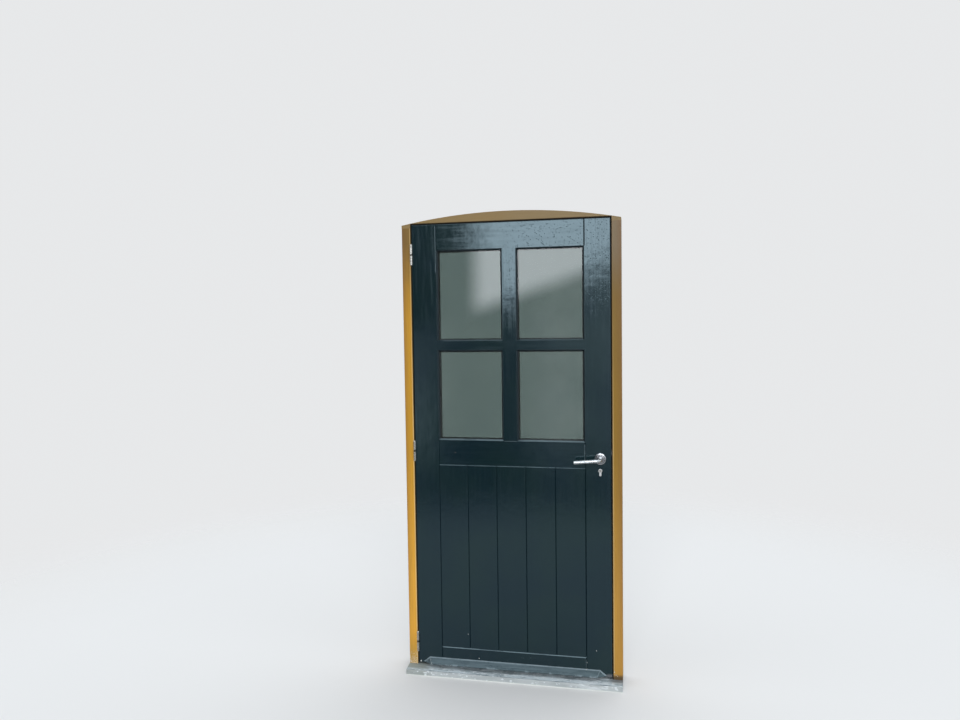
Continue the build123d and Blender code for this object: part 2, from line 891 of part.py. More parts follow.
def room_side(solid):
    """The same piece on the room side of the leaf."""
    return mirror(solid, about=Plane(origin=(0, mid_y, 0), z_dir=(0, 1, 0)))


def rose():
    disc = rod(rose_diameter, (lever_x, 0, lever_z), (lever_x, -rose_thickness, lever_z))
    disc = fillet(disc.edges().sort_by(Axis.Y)[0], rose_edge)
    bore = lever_diameter + 2 * lever_running_clearance
    return disc - rod(bore, (lever_x, 0, lever_z), (lever_x, -rose_thickness, lever_z))


def lever():
    """A round bar, bent once from the spindle to the grip, which droops a little."""
    root = (lever_x, -lever_root_gap, lever_z)
    depth = -(lever_projection - lever_diameter / 2)
    droop = math.radians(lever_droop)
    reach = lever_length - lever_diameter / 2
    tip = (lever_x - reach * math.cos(droop), depth, lever_z - reach * math.sin(droop))
    path = FilletPolyline(root, (lever_x, depth, lever_z), tip, radius=lever_bend_radius)
    section = Plane(origin=root, z_dir=(0, -1, 0)) * Circle(lever_diameter / 2)
    bar = sweep(section, path=path)
    bar = fillet(bar.edges().filter_by(GeomType.CIRCLE).sort_by(Axis.X)[0], lever_end_radius)
    half = spindle_size / 2
    return bar - block(
        (lever_x - half, lever_x + half), (0, -spindle_grip), (lever_z - half, lever_z + half)
    )


def spindle():
    half = spindle_size / 2
    return block(
        (lever_x - half, lever_x + half),
        (-spindle_grip, leaf_thickness + spindle_grip),
        (lever_z - half, lever_z + half),
    )


# Every piece, by its node's name

def pieces():
    made = {
        "jamb_hinge_side": jamb_hinge_side(),
        "jamb_lock_side": jamb_lock_side(),
        "frame_head": frame_head(),
        "threshold": finished_threshold(),
        "seal_hinge_side": seal(-1),
        "seal_lock_side": seal(1),
        "seal_head": seal_head(),
        "strike_plate": strike_plate(),
        "frame_screws": frame_screws(),
        "hinge_pins": hinge_pins(),
        "stile_hinge_side": stile_hinge_side(),
        "stile_lock_side": stile_lock_side(),
        "muntin_upright": muntin_post(),
        "muntin_cross_left": muntin_cross(-1),
        "muntin_cross_right": muntin_cross(1),
        "leaf_screws": leaf_screws(),
        "weatherboard": weatherboard(),
        "lock_case": lock_case(),
        "lock_forend": lock_forend(),
        "cylinder_body": cylinder_body(),
        "cylinder_screw": cylinder_screw(),
        "cylinder_plug": cylinder_plug(),
        "latch_bolt": latch_bolt(),
        "dead_bolt": dead_bolt(),
        "follower": follower(),
        "spindle": spindle(),
        "rose_outside": rose(),
        "rose_inside": room_side(rose()),
        "lever_outside": lever(),
        "lever_inside": room_side(lever()),
    }
    for name in rail_z:
        made[name] = rail(name)
    for i in range(board_count):
        made[f"board_{i + 1}"] = board(i)
    for name, z in hinge_zs.items():
        made[f"hinge_frame_{name}"] = hinge_half(z, -1)
        made[f"hinge_leaf_{name}"] = hinge_half(z, 1)
    for level, row in ((1, "upper"), (-1, "lower")):
        for side, column in ((-1, "left"), (1, "right")):
            place = f"{row}_{column}"
            made[f"pane_outer_{place}"] = pane(side, level, inner=False)
            made[f"pane_inner_{place}"] = pane(side, level, inner=True)
            made[f"pane_spacer_{place}"] = spacer(side, level)
            made[f"glazing_bead_{place}"] = bead(side, level)
    return made


os.makedirs("parts", exist_ok=True)
for name, shape in pieces().items():
    if isinstance(shape, list):
        shape = Compound(children=shape)
    export_step(shape, f"parts/{name}.step")
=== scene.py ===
import bpy
import json
import math
from mathutils import Matrix, Vector


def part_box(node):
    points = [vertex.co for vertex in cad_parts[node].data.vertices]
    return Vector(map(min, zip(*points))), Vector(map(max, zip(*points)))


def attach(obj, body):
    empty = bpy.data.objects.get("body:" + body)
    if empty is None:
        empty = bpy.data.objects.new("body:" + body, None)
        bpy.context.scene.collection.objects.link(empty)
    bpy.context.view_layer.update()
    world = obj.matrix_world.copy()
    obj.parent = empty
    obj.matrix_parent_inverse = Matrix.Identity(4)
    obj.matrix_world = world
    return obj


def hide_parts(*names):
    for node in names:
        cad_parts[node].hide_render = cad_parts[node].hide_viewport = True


# A half-glazed stable door in its ochre frame: the finish of every piece, the roses' stepped rims, the
# sealant round the panes, a nail, the light and the camera.
# Metres, in the part's own frame: x across the door, y into the building, z up from under the threshold.

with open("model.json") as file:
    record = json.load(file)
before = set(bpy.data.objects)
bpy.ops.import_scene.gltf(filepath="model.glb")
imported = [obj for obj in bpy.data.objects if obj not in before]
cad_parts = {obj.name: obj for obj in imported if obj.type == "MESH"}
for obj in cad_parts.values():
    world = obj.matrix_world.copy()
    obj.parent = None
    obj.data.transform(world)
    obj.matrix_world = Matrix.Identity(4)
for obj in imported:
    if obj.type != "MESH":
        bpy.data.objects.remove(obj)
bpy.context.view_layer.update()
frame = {"nodes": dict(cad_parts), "record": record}
scene = bpy.context.scene
slotOf = {part["node"]: part["material_slot"] for part in frame["record"]["subparts"]}
print("frame loaded:", len(frame["nodes"]), "nodes")


# Shader maths

class Wire:  # a node's output in a sum; each operator adds a Math node
    def __init__(self, graph, socket):
        self.graph = graph
        self.socket = socket

    def __add__(self, other):
        return self.graph.math("ADD", self, other)

    def __radd__(self, other):
        return self.graph.math("ADD", other, self)

    def __sub__(self, other):
        return self.graph.math("SUBTRACT", self, other)

    def __rsub__(self, other):
        return self.graph.math("SUBTRACT", other, self)

    def __mul__(self, other):
        return self.graph.math("MULTIPLY", self, other)

    def __rmul__(self, other):
        return self.graph.math("MULTIPLY", other, self)


class Graph:  # the nodes of one material, or of the world
    def __init__(self, owner):
        owner.use_nodes = True
        self.tree = owner.node_tree
        self.tree.nodes.clear()

    def node(self, kind, settings=None, inputs=None, output=0):
        made = self.tree.nodes.new(kind)
        for name, value in (settings or {}).items():
            setattr(made, name, value)
        for name, value in (inputs or {}).items():
            socket = made.inputs[name]
            if isinstance(value, Wire):
                self.tree.links.new(value.socket, socket)
            elif socket.type == "RGBA":
                socket.default_value = (*value, 1)
            else:
                socket.default_value = value
        return Wire(self, made.outputs[output]) if made.outputs else None

    def math(self, operation, *values):
        return self.node("ShaderNodeMath", {"operation": operation}, dict(enumerate(values)))

    def absolute(self, value):  # without its sign
        return self.math("ABSOLUTE", value)

    def largest(self, first, *others):
        for other in others:
            first = self.math("MAXIMUM", first, other)
        return first

    def smooth(self, value, low, high):  # 0 below low and 1 above high
        inputs = {"Value": value, "From Min": low, "From Max": high}
        return self.node("ShaderNodeMapRange", {"interpolation_type": "SMOOTHSTEP"}, inputs)

    def fade(self, value, low, high):  # 1 below low and 0 above high
        return 1 - self.smooth(value, low, high)

    def band(self, value, middle, half, soft=0.4):  # 1 near the middle; soft is the faded share of half
        return self.fade(self.absolute(value - middle), half * (1 - soft), half * (1 + soft))

    def mix(self, amount, a, b):
        return self.node("ShaderNodeMix", {"data_type": "RGBA"}, {0: amount, 6: a, 7: b}, 2)

    def layered(self, colour, *layers):  # each layer is a mask and the colour that it lays over the rest
        for mask, above in layers:
            colour = self.mix(mask, colour, above)
        return colour

    def place(self):
        return self.node("ShaderNodeTexCoord", output="Object")

    def split(self, vector):
        return [self.node("ShaderNodeSeparateXYZ", inputs={0: vector}, output=i) for i in range(3)]

    def facingUp(self):  # 0 on an upright face and 1 on a level one
        normal = self.node("ShaderNodeTexCoord", output="Normal")
        return self.smooth(self.split(normal)[2], 0.25, 0.80)

    def stretch(self, vector, scale):
        return self.node("ShaderNodeVectorMath", {"operation": "MULTIPLY"}, {0: vector, 1: scale})

    def noise(self, at, scale=1, detail=3, roughness=0.5):
        inputs = {"Vector": at, "Scale": scale, "Detail": detail, "Roughness": roughness}
        return self.node("ShaderNodeTexNoise", inputs=inputs)

    def dots(self, at, scale, size, share):  # round spots in a share of the cells of a Voronoi pattern
        inputs = {"Vector": at, "Scale": scale}
        near = self.node("ShaderNodeTexVoronoi", inputs=inputs, output="Distance")
        cell = self.node("ShaderNodeTexVoronoi", inputs=inputs, output="Color")
        chosen = self.smooth(self.split(cell)[0], 1 - share, 1.02 - share)
        return self.fade(near, size * 0.7, size) * chosen

    def spot(self, at, centre, radius, ragged):  # one ragged mark
        far = self.node("ShaderNodeVectorMath", {"operation": "DISTANCE"}, {0: at, 1: centre}, "Value")
        return self.fade(far + ragged * radius, radius * 0.9, radius * 1.1)

    def finish(self, surface):
        self.node("ShaderNodeOutputMaterial", inputs={"Surface": surface})

    def surface(self, height=None, **inputs):
        named = {name.replace("_", " "): value for name, value in inputs.items()}
        if height is not None:  # in metres
            named["Normal"] = self.node("ShaderNodeBump", inputs={"Distance": 1.0, "Height": height})
        self.finish(self.node("ShaderNodeBsdfPrincipled", inputs=named))


def newFinish(name):
    material = bpy.data.materials.new(name)
    return material, Graph(material)


def blend(amount, low, high):  # low where the amount is 0 and high where it is 1
    return low + amount * (high - low)


def weighed(total, weights, masks):  # the total, with each mask times its weight added
    for name, weight in weights.items():
        total = total + masks[name] * weight
    return total


# Leaf: dark blue-green gloss paint over open grain

leafLook = {
    "colour": (0.0045, 0.0145, 0.0205), "thin": (0.0065, 0.0185, 0.0205), "thinPatches": (0.35, 0.65),
    "gloss": 0.085, "refraction": 1.68, "sheenTint": (0.70, 0.91, 1.0),
    "streaks": (85, 85, 5), "pores": (420, 420, 26), "glossStreaks": (0.40, 0.70),
    "peel": 240, "patches": 3.5, "waves": 16, "splash": 26, "ragged": 300,
    "drops": {"scale": 135, "size": 0.30, "share": 0.50}, "dropsUp": (1.62, 1.87),
    "dropsAcross": (-0.10, 0.10),
    "roughened": {"streaks": 0.06, "dust": 0.22, "drops": 0.24, "chips": 0.40, "dustAndSheen": 0.35,
                  "shadeAndJoint": 0.50, "lines": 0.40, "mud": 0.50},
    "relief": {"grain": 0.00015, "pores": 0.000025, "peel": 0.000022, "drops": 0.00012, "waves": 0.0004,
               "chips": -0.0003, "dimple": -0.0012},
}
# dust and mud on the leaf, and its up-facing faces painted paler: settled dust with a painted sheen of the
# sky
leafDirtAndSheen = {  # Across and Up are ranges of x and z, and the other ranges are of a noise
    "dust": (0.060, 0.072, 0.076), "dustStrength": 0.08, "dustUp": (0.08, 0.30), "dustShift": 0.12,
    "dustSplash": (0.42, 0.72),
    "mud": (0.130, 0.122, 0.125), "mudStrength": 0.85, "mudAcross": (0.428, 0.448), "mudUp": (0.054, 0.064),
    "mudShift": 0.012,
    "dustAndSheen": (0.170, 0.232, 0.255), "washed": (9, 70, 70), "washedFrom": (0.38, 0.60), "washedLeast": 0.35,
    "dustAndSheenUp": (1.30, 1.50), "dustAndSheenHigh": 0.15,
    "boardSill": 0.42, "lowSill": 1.0, "highSill": 0.56, "sillUp": (0.10, 0.30),
}
leafShadeAndJoints = {  # painted shade round the leaf's edge, in its gap to the frame, and a dark joint where the top rail meets the lock stile
    "colour": (0.001, 0.0015, 0.002), "strength": 0.9,
    "edgeAcross": (0.4637, 0.4651), "edgeUp": (2.1525, 2.1545),
    "joint": {"middle": 0.3470, "half": 0.0023, "soft": 0.3}, "jointUp": (2.034, 2.036),
    "hole": (0.002, 0.003, 0.003), "holeStrength": 0.8,
}
boardLines = {  # painted highlights on the weatherboard along its back, hips and nose, and pale wear where it is worn
    "proud": (-0.0006, -0.0002), "back": (-0.0062, -0.0046), "hip": {"middle": 0.410, "half": 0.0020},
    "taper": 0.469,  # how far a hip leans in for each metre of depth
    "nose": (-0.0330, -0.0290), "worn": (-0.0310, -0.0250), "wornSplash": (0.50, 0.58),
    "strengths": {"back": 0.75, "hip": 0.34, "nose": 0.30, "worn": 0.70},
}
# painted highlights along the leaf's joints, with some dust
highlightAndDustLines = {
    "colour": (0.255, 0.310, 0.335), "end": 0.006, "least": 0.55, "splash": (0.38, 0.55),
    "joints": [  # "x" for an upright one, its place, from, to, half width, strength
        ("x", -0.3502, 1.930, 2.150, 0.0016, 0.26), ("x", 0.3450, 1.040, 1.128, 0.0012, 0.50),
        ("x", 0.3450, 0.072, 0.118, 0.0012, 0.34), ("z", 1.1342, -0.034, 0.034, 0.0014, 0.26),
    ],
}
bareWood = (0.62, 0.60, 0.55)
leafMarks = [  # where the paint is chipped, with the radius of each chip
    ((-0.404, -0.016, 0.064), 0.0075), ((-0.396, -0.028, 0.052), 0.0050), ((-0.421, -0.008, 0.058), 0.0045),
    ((-0.455, 0.0, 0.046), 0.0070), ((-0.300, -0.031, 0.048), 0.0030), ((0.345, -0.004, 0.069), 0.0035),
    ((0.349, 0.0, 0.101), 0.0040), ((0.347, 0.0, 0.072), 0.0038), ((0.393, 0.0, 0.161), 0.0034),
    ((-0.165, 0.0, 0.081), 0.0036), ((0.347, 0.0, 0.205), 0.0030), ((-0.218, 0.0, 0.196), 0.0026),
]


# pale lines: painted highlights on the weatherboard and along joints, with dust and wear
def paleLines(g, at, splash, proud):
    x, y, z = g.split(at)
    board, dust = boardLines, highlightAndDustLines
    masks = {
        "back": g.smooth(y, *board["back"]), "nose": g.fade(y, *board["nose"]),
        "hip": g.band(g.absolute(x) - y * board["taper"], **board["hip"]),
        "worn": g.fade(y, *board["worn"]) * g.smooth(splash, *board["wornSplash"]),
    }
    lines = g.largest(*(masks[name] * strength for name, strength in board["strengths"].items())) * proud
    for axis, place, low, high, half, strength in dust["joints"]:
        across, along = (x, z) if axis == "x" else (z, x)
        reach = g.smooth(along, low, low + dust["end"]) * g.fade(along, high - dust["end"], high)
        lines = g.largest(lines, g.band(across, place, half) * reach * strength)
    return lines * blend(g.smooth(splash, *dust["splash"]), dust["least"], 1)


# painted shade in the gap round the leaf, a dark joint, and the painted shade passed in
def shadeAndJoints(g, at, shade):
    x, y, z = g.split(at)
    joint = g.band(x, **leafShadeAndJoints["joint"]) * g.smooth(z, *leafShadeAndJoints["jointUp"])
    edges = g.smooth(g.absolute(x), *leafShadeAndJoints["edgeAcross"]), g.smooth(z, *leafShadeAndJoints["edgeUp"])
    return g.largest(*edges, joint, shade)


def leafPaint(name, turned, shaded=0):  # shaded is for the beads: painted shade on their sides and tops, but not on their sills
    material, g = newFinish(name)
    look, dirtAndPaintedLight = leafLook, leafDirtAndSheen
    at = g.place()
    x, y, z = g.split(at)
    grain = lambda scale: g.stretch(at, (scale[2], scale[0], scale[0]) if turned else scale)
    streaks = g.noise(grain(look["streaks"]), detail=4)
    patches = g.noise(at, look["patches"], detail=3)
    splash = g.noise(at, look["splash"], detail=5, roughness=0.6)
    ragged = g.noise(at, look["ragged"], detail=2)
    washed = g.noise(g.stretch(at, dirtAndPaintedLight["washed"]), detail=4, roughness=0.6)
    up = g.facingUp()
    proud = g.fade(y, *boardLines["proud"])  # the weatherboard alone stands in front of the face
    # painted sheen with dust: up-facing faces paler, less of it higher up
    dustAndSheen = up * blend(g.smooth(washed, *dirtAndPaintedLight["washedFrom"]), dirtAndPaintedLight["washedLeast"], 1)
    dustAndSheen = dustAndSheen * blend(g.smooth(z, *dirtAndPaintedLight["dustAndSheenUp"]), 1, dirtAndPaintedLight["dustAndSheenHigh"])
    railSill = blend(g.smooth(z, *dirtAndPaintedLight["sillUp"]), dirtAndPaintedLight["lowSill"], dirtAndPaintedLight["highSill"])
    dropped = g.smooth(z, *look["dropsUp"]) * g.smooth(x, *look["dropsAcross"])
    dusty = g.fade(z + patches * dirtAndPaintedLight["dustShift"], *dirtAndPaintedLight["dustUp"])
    masks = {
        "grain": streaks, "streaks": g.smooth(streaks, *look["glossStreaks"]),
        "pores": g.noise(grain(look["pores"]), detail=2), "peel": g.noise(at, look["peel"], detail=1),
        "waves": g.noise(at, look["waves"], detail=2), "dustAndSheen": dustAndSheen,
        "drops": g.dots(at, **look["drops"]) * dropped,
        "dust": dusty * g.smooth(splash, *dirtAndPaintedLight["dustSplash"]),
        "mud": g.smooth(x, *dirtAndPaintedLight["mudAcross"]) * g.fade(z + splash * dirtAndPaintedLight["mudShift"], *dirtAndPaintedLight["mudUp"]),
        "lines": paleLines(g, at, splash, proud), "shadeAndJoint": shadeAndJoints(g, at, (1 - up) * shaded),
        "chips": g.largest(*(g.spot(at, centre, radius, ragged) for centre, radius in leafMarks)),
        "dimple": g.spot(at, nail["centre"], nail["dimple"], ragged),
    }
    colour = g.layered(
        look["colour"], (g.smooth(patches, *look["thinPatches"]), look["thin"]),
        (masks["dust"] * dirtAndPaintedLight["dustStrength"], dirtAndPaintedLight["dust"]),
        (dustAndSheen * blend(proud, railSill, dirtAndPaintedLight["boardSill"]), dirtAndPaintedLight["dustAndSheen"]),
        (masks["lines"], highlightAndDustLines["colour"]), (masks["mud"] * dirtAndPaintedLight["mudStrength"], dirtAndPaintedLight["mud"]),
        (masks["shadeAndJoint"] * leafShadeAndJoints["strength"], leafShadeAndJoints["colour"]), (masks["chips"], bareWood),
        (masks["dimple"] * leafShadeAndJoints["holeStrength"], leafShadeAndJoints["hole"]))
    g.surface(Base_Color=colour, Roughness=weighed(look["gloss"], look["roughened"], masks),
              IOR=look["refraction"], Specular_Tint=look["sheenTint"],
              height=weighed(0, look["relief"], masks))
    return material


# Frame: ochre paint, paler on the inner arrises as a painted highlight, dull and brown under the arch as
# painted shade

frameLook = {
    "colour": (0.555, 0.275, 0.018), "shade": (0.275, 0.148, 0.014), "low": (0.700, 0.345, 0.036),
    "lowShade": (0.470, 0.240, 0.036), "lowUp": (0.45, 1.35), "shift": 0.3, "right": (-0.1, 0.1),
    # high is painted shade, the jambs darker towards the top
    "high": (0.185, 0.110, 0.026), "highStrength": 0.9, "highLeft": 1.80, "highRight": 1.35,
    "highTo": 2.30,
    # paintedSheen is a painted sheen of the sky, the right jamb's top greyer
    "paintedSheen": (0.228, 0.165, 0.094), "paintedSheenStrength": 0.9, "paintedSheenUp": (1.78, 2.06),
    "foot": (0.400, 0.250, 0.040), "footStrength": 0.7, "footUp": (0.10, 0.26), "footShift": 0.1,
    # head is painted shade, darker and browner under the arch
    "head": (0.300, 0.205, 0.085), "headStrength": 0.75,
    "streaks": (170, 170, 5), "levelStreaks": (5, 170, 170), "streakColour": (0.200, 0.095, 0.020),
    "streakStrength": 0.22, "streaksFrom": (0.45, 0.75), "patches": 4.5, "specks": 260, "peel": 210,
    "gloss": 0.42, "refraction": 1.38, "roughened": {"patches": 0.10, "chips": 0.30, "gapShade": 0.40},
    "relief": {"grain": 0.00012, "peel": 0.00003, "chips": -0.0004},
}
frameEdges = {  # Across is from the doorway's middle, To from the rebate, and face and gapShadeBack are depths
    "rebate": 0.468, "headRebate": 2.159, "face": (0.0005, 0.006),
    # arris is a painted highlight on the inner arrises, arrisShade the same on the right jamb
    "arris": (0.760, 0.520, 0.210), "arrisShade": (0.560, 0.375, 0.140), "arrisStrength": 0.75,
    "arrisTo": (0.0060, 0.00975), "arrisUp": (1.0, 1.9), "arrisLoss": (0.4, 0.9),
    # outer is painted shade, darker towards the outer edges beside the wall
    "outer": (0.200, 0.092, 0.030), "outerStrength": 0.50, "outerAcross": (0.484, 0.520),
    "outerUp": (0.05, 0.5), "outerLeast": 0.3,
    # gapShade is painted shade in the rebate gap round the leaf
    "gapShade": (0.020, 0.013, 0.007), "gapShadeStrength": 0.92, "gapShadeTo": (0.0025, 0.0045),
    "headGapShadeTo": (0.0025, 0.0065), "headGapShadeEnd": (0.0020, 0.0040), "gapShadeBack": (0.014, 0.034),
}
frameWear = {
    "rot": (0.050, 0.040, 0.028), "rotStrength": 0.85, "rotUp": (0.066, 0.084), "rotPatches": 0.03,
    "rotSpecks": 0.02, "bare": (0.80, 0.77, 0.70), "bareUp": (0.055, 0.105), "bareSpecks": 0.6,
    "barePatches": 0.4, "bareFrom": (0.54, 0.58),
}
frameMarks = [  # where the foot of the lock jamb is chipped to the wood
    ((0.4745, 0.0, 0.066), 0.0040), ((0.4820, 0.0, 0.052), 0.0032), ((0.4880, 0.0, 0.047), 0.0026),
]


def framePaint(name, turned):
    material, g = newFinish(name)
    look, edge, wear = frameLook, frameEdges, frameWear
    at = g.place()
    x, y, z = g.split(at)
    side = g.absolute(x)
    right = g.smooth(x, *look["right"])
    grain = g.noise(g.stretch(at, look["levelStreaks"] if turned else look["streaks"]), detail=4)
    patches = g.noise(at, look["patches"], detail=3)
    specks = g.noise(at, look["specks"], detail=2)
    shifted = z + patches * look["shift"]
    # painted shade: paler towards the foot, darker towards the top, and the right jamb in the shade colours
    low = g.fade(shifted, *look["lowUp"])
    high = g.smooth(shifted, blend(right, look["highLeft"], look["highRight"]), look["highTo"])
    foot = g.fade(z + patches * look["footShift"], *look["footUp"]) * (1 - right)
    lit, shaded = g.mix(low, look["colour"], look["low"]), g.mix(low, look["shade"], look["lowShade"])
    # painted shade towards the top, and a painted sheen on the right jamb's top
    colour = g.layered(
        g.mix(right, lit, shaded), (high * look["highStrength"], look["high"]),
        (right * g.smooth(z, *look["paintedSheenUp"]) * look["paintedSheenStrength"], look["paintedSheen"]),
        (foot * look["footStrength"], look["foot"]))
    if turned:
        # painted shade: the head darker and browner under the arch
        colour = g.mix(look["headStrength"], colour, look["head"])
        # painted shade in the gap under the head
        gapShade = g.fade(z, *(edge["headRebate"] + reach for reach in edge["headGapShadeTo"]))
        gapShade = gapShade * g.fade(side, *(edge["rebate"] + reach for reach in edge["headGapShadeEnd"]))
    else:
        # painted shade: darker towards the outer edges, beside the wall
        outer = g.smooth(side, *edge["outerAcross"])
        outer = outer * blend(g.smooth(z, *edge["outerUp"]), edge["outerLeast"], 1)
        # painted highlight: the inner arris paler, less of it up high on the right jamb
        inner = g.fade(side - edge["rebate"], *edge["arrisTo"]) * g.fade(y, *edge["face"])
        inner = inner * (1 - g.smooth(z, *edge["arrisUp"]) * blend(right, *edge["arrisLoss"]))
        colour = g.layered(
            colour, (outer * edge["outerStrength"], edge["outer"]),
            (inner * edge["arrisStrength"], g.mix(right, edge["arris"], edge["arrisShade"])))
        # painted shade in the gap beside the leaf
        gapShade = g.fade(side, *(edge["rebate"] + reach for reach in edge["gapShadeTo"]))
    gapShade = gapShade * g.fade(y, *edge["gapShadeBack"])
    rot = right * g.fade(z + patches * wear["rotPatches"] + specks * wear["rotSpecks"], *wear["rotUp"])
    chips = g.smooth(specks * wear["bareSpecks"] + patches * wear["barePatches"], *wear["bareFrom"])
    chips = chips * g.fade(z, *wear["bareUp"]) * (1 - right)
    chips = g.largest(chips, *(g.spot(at, centre, radius, specks) for centre, radius in frameMarks))
    colour = g.layered(
        colour, (g.smooth(grain, *look["streaksFrom"]) * look["streakStrength"], look["streakColour"]),
        (rot * wear["rotStrength"], wear["rot"]), (chips, wear["bare"]),
        (gapShade * edge["gapShadeStrength"], edge["gapShade"]))
    masks = {"patches": patches, "chips": chips, "gapShade": gapShade, "grain": grain,
             "peel": g.noise(at, look["peel"], detail=1)}
    g.surface(Base_Color=colour, Roughness=weighed(look["gloss"], look["roughened"], masks),
              IOR=look["refraction"], height=weighed(0, look["relief"], masks))
    return material


# Threshold: blue-grey stone, chipped and stained

stoneLook = {
    "dark": (0.180, 0.222, 0.243), "pale": (0.400, 0.445, 0.458), "fleck": (0.700, 0.740, 0.750),
    "clouds": 9, "streaks": (16, 90, 90), "grit": 520, "speckle": (50, 110, 110),
    "clouded": 0.40, "streaked": 0.60, "peeledFrom": (0.44, 0.56),
    "insideDeep": (0.0, 0.03), "insidePeeled": (0.30, 0.70),
    "fleckFrom": (0.610, 0.635), "fleckStrength": 0.8, "gritFrom": (0.55, 0.75), "gritStrength": 0.25,
    "roughness": (0.62, 0.80), "relief": {"cloud": 0.0012, "grit": 0.00030, "streak": 0.0004},
}
stoneWear = {  # Across, Deep and Up are ranges of x, y and z
    # paintedLight: paler under the weatherboard, painted light in its shadow
    "paintedLight": (0.545, 0.625, 0.655), "paintedLightDeep": (-0.058, -0.046), "paintedLightTo": (0.000, 0.010),
    "paintedLightStrength": (0.30, 0.90),
    "front": (0.468, 0.495, 0.490), "frontDeep": (-0.0590, -0.0550), "frontStrength": 0.75,
    "moss": (0.228, 0.250, 0.222), "mossAcross": (-0.400, -0.330), "mossDeep": (-0.056, -0.030),
    "mossStrength": 0.85, "frontMoss": 0.55, "mossShift": 0.08,
    "dripFrom": (-0.046, -0.040), "dripTo": (-0.032, -0.026), "dripFlecks": (0.54, 0.58),
    "bleachedFrom": (0.24, 0.38), "bleachedTo": (0.43, 0.46), "bleachedStrength": 0.6,
    "stain": (0.105, 0.103, 0.096), "stainAcross": (0.480, 0.540), "stainDeep": (-0.050, -0.012),
    "stainShift": 0.10, "stainStrength": 0.85,
    "lime": (0.780, 0.790, 0.740), "limeUp": (0.0045, 0.0070), "limeShift": 0.003, "limeStrength": 0.75,
}


def thresholdStone(name):
    material, g = newFinish(name)
    look, wear = stoneLook, stoneWear
    at = g.place()
    x, y, z = g.split(at)
    cloud = g.noise(at, look["clouds"], detail=5, roughness=0.6)
    streak = g.noise(g.stretch(at, look["streaks"]), detail=4, roughness=0.6)
    grit = g.noise(at, look["grit"], detail=3, roughness=0.7)
    speckle = g.noise(g.stretch(at, look["speckle"]), detail=3)
    blotches = cloud * look["clouded"] + streak * look["streaked"]
    peeled = g.smooth(blotches, *look["peeledFrom"])
    even = g.mix(g.smooth(blotches, *look["insidePeeled"]), look["dark"], look["pale"])
    paintedLight = g.smooth(y, *wear["paintedLightDeep"]) * g.fade(y, *wear["paintedLightTo"])  # painted light, paler under the weatherboard where its shadow falls
    lip = g.fade(y, *wear["frontDeep"])
    left = g.fade(x + cloud * wear["mossShift"], *wear["mossAcross"])
    drip = g.smooth(y, *wear["dripFrom"]) * g.fade(y, *wear["dripTo"])
    dripFlecks = drip * g.smooth(speckle, *wear["dripFlecks"])
    flecks = g.largest(g.smooth(speckle, *look["fleckFrom"]), dripFlecks)
    bleached = g.smooth(x, *wear["bleachedFrom"]) * g.fade(x, *wear["bleachedTo"]) * peeled
    stained = g.smooth(x + cloud * wear["stainShift"], *wear["stainAcross"])
    stained = stained * g.smooth(y, *wear["stainDeep"])
    lime = g.fade(z + grit * wear["limeShift"], *wear["limeUp"]) * lip
    colour = g.layered(
        g.mix(peeled, look["dark"], look["pale"]),
        (g.smooth(y, *look["insideDeep"]), even),  # where the leaf shelters it
        (paintedLight * blend(peeled, *wear["paintedLightStrength"]), wear["paintedLight"]),
        (lip * wear["frontStrength"], wear["front"]),
        (left * lip * wear["frontMoss"], wear["moss"]),
        (g.largest(flecks * look["fleckStrength"], bleached * wear["bleachedStrength"]), look["fleck"]),
        (left * g.smooth(y, *wear["mossDeep"]) * wear["mossStrength"], wear["moss"]),
        (stained * wear["stainStrength"], wear["stain"]), (lime * wear["limeStrength"], wear["lime"]),
        (g.smooth(grit, *look["gritFrom"]) * look["gritStrength"], look["fleck"]))
    g.surface(Base_Color=colour, Roughness=blend(cloud, *look["roughness"]),
              height=weighed(0, look["relief"], {"cloud": cloud, "grit": grit, "streak": streak}))
    return material


# Glass, seals and metal

glassLook = {"tint": (0.33, 0.395, 0.385), "smear": (0.37, 0.43, 0.41), "smears": 7, "refraction": 1.58}
sealLook = {
    "colour": (0.012, 0.013, 0.014), "worn": (0.030, 0.031, 0.032), "wear": 60, "roughness": (0.50, 0.70),
    "pores": 900, "poreDepth": 0.00002,
}


def paneGlass(name):
    material, g = newFinish(name)
    smear = g.noise(g.place(), glassLook["smears"], detail=4)
    g.surface(Base_Color=g.mix(smear, glassLook["tint"], glassLook["smear"]), Roughness=0.0,
              IOR=glassLook["refraction"], Transmission_Weight=1.0)
    return material


def sealRubber(name):
    material, g = newFinish(name)
    at = g.place()
    wear = g.noise(at, sealLook["wear"], detail=3)
    g.surface(Base_Color=g.mix(wear, sealLook["colour"], sealLook["worn"]),
              Roughness=blend(wear, *sealLook["roughness"]),
              height=g.noise(at, sealLook["pores"], detail=1) * sealLook["poreDepth"])
    return material


